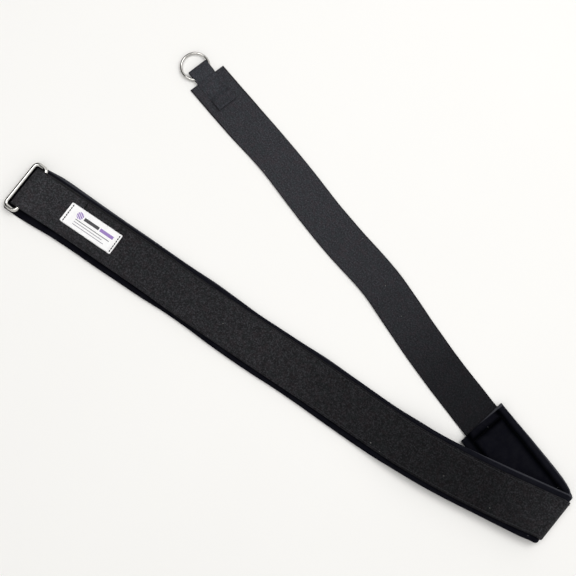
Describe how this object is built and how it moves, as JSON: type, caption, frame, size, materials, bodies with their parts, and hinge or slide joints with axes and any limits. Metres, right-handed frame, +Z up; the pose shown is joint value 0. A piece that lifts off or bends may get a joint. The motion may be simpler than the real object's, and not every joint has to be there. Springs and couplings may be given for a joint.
{
  "type": "gait belt",
  "caption": "Padded webbing gait belt folded into a V: velour-backed arm with a wire loop in its sewn sleeve, and a narrower strap that ends in a sewn tab with a round pull ring.",
  "frame": {"origin": "centre of the bounding box of the belt as it lies, at the height of the surface under it", "axes": "+Z up from the surface; +X to the right and +Y away, with the fold at the right front, the wire loop at the left and the ring at the back"},
  "size_m": [0.6216, 0.5534, 0.0173],
  "materials": {
    "webbing": "ribbed polyester webbing, satin",
    "velour": "brushed velour, matt with a soft edge sheen",
    "foam": "open-cell foam, matt",
    "strap_webbing": "close-woven webbing, low sheen",
    "tab_webbing": "close-woven narrow webbing, low sheen",
    "thread": "bonded sewing thread",
    "label_satin": "woven satin",
    "label_thread": "bonded sewing thread",
    "wire_chrome": "bright plated wire",
    "ring_chrome": "bright plated wire"
  },
  "bodies": {
    "belt_return": {"return_webbing": "webbing", "return_pad_cover": "velour", "return_pad_core": "foam", "return_pad_stitching": "thread", "strap_sewn_end": "strap_webbing", "fold_webbing": "webbing", "fold_pad_cover": "velour", "fold_pad_core": "foam"},
    "belt_arm": {"arm_webbing": "webbing", "arm_pad_cover": "velour", "arm_pad_core": "foam", "arm_stitching_upper": "thread", "arm_stitching_lower": "thread", "sleeve_stitching": "thread", "label": "label_satin", "label_stitching": "label_thread"},
    "loop": {"wire_loop": "wire_chrome"},
    "strap_near": {"strap_lower": "strap_webbing"},
    "strap_far": {"strap_upper": "strap_webbing", "tab_tails": "tab_webbing", "tab_stitching": "thread"},
    "tab": {"tab_loop": "tab_webbing"},
    "pull_ring": {"ring": "ring_chrome"}
  },
  "joints": [
    {"name": "belt_fold", "type": "hinge", "parent": "belt_return", "child": "belt_arm", "pos_m": [0.28652, -0.24831, 0.0085], "axis": [0.6177, 0.7864, 0], "range_deg": [0, 180], "deforming": ["fold_webbing", "fold_pad_cover", "fold_pad_core"]},
    {"name": "loop_swing", "type": "hinge", "parent": "belt_arm", "child": "loop", "pos_m": [-0.2783, 0.11013, 0.0078], "axis": [0.592, 0.8059, 0], "range_deg": [-8, 150]},
    {"name": "strap_flex", "type": "hinge", "parent": "belt_return", "child": "strap_near", "pos_m": [0.21129, -0.13753, 0.00175], "axis": [0.8054, 0.5927, 0], "range_deg": [0, 90]},
    {"name": "strap_bend", "type": "hinge", "parent": "strap_near", "child": "strap_far", "pos_m": [0.11353, 0.00106, 0.00175], "axis": [0.7976, 0.6032, 0], "range_deg": [0, 110]},
    {"name": "tab_swing", "type": "hinge", "parent": "strap_far", "child": "tab", "pos_m": [-0.08433, 0.24539, 0.00455], "axis": [0.7771, 0.6293, 0], "range_deg": [0, 130]},
    {"name": "ring_turn", "type": "hinge", "parent": "tab", "child": "pull_ring", "pos_m": [-0.09747, 0.25907, 0.0033], "axis": [0, 0, 1], "continuous": true}
  ]
}
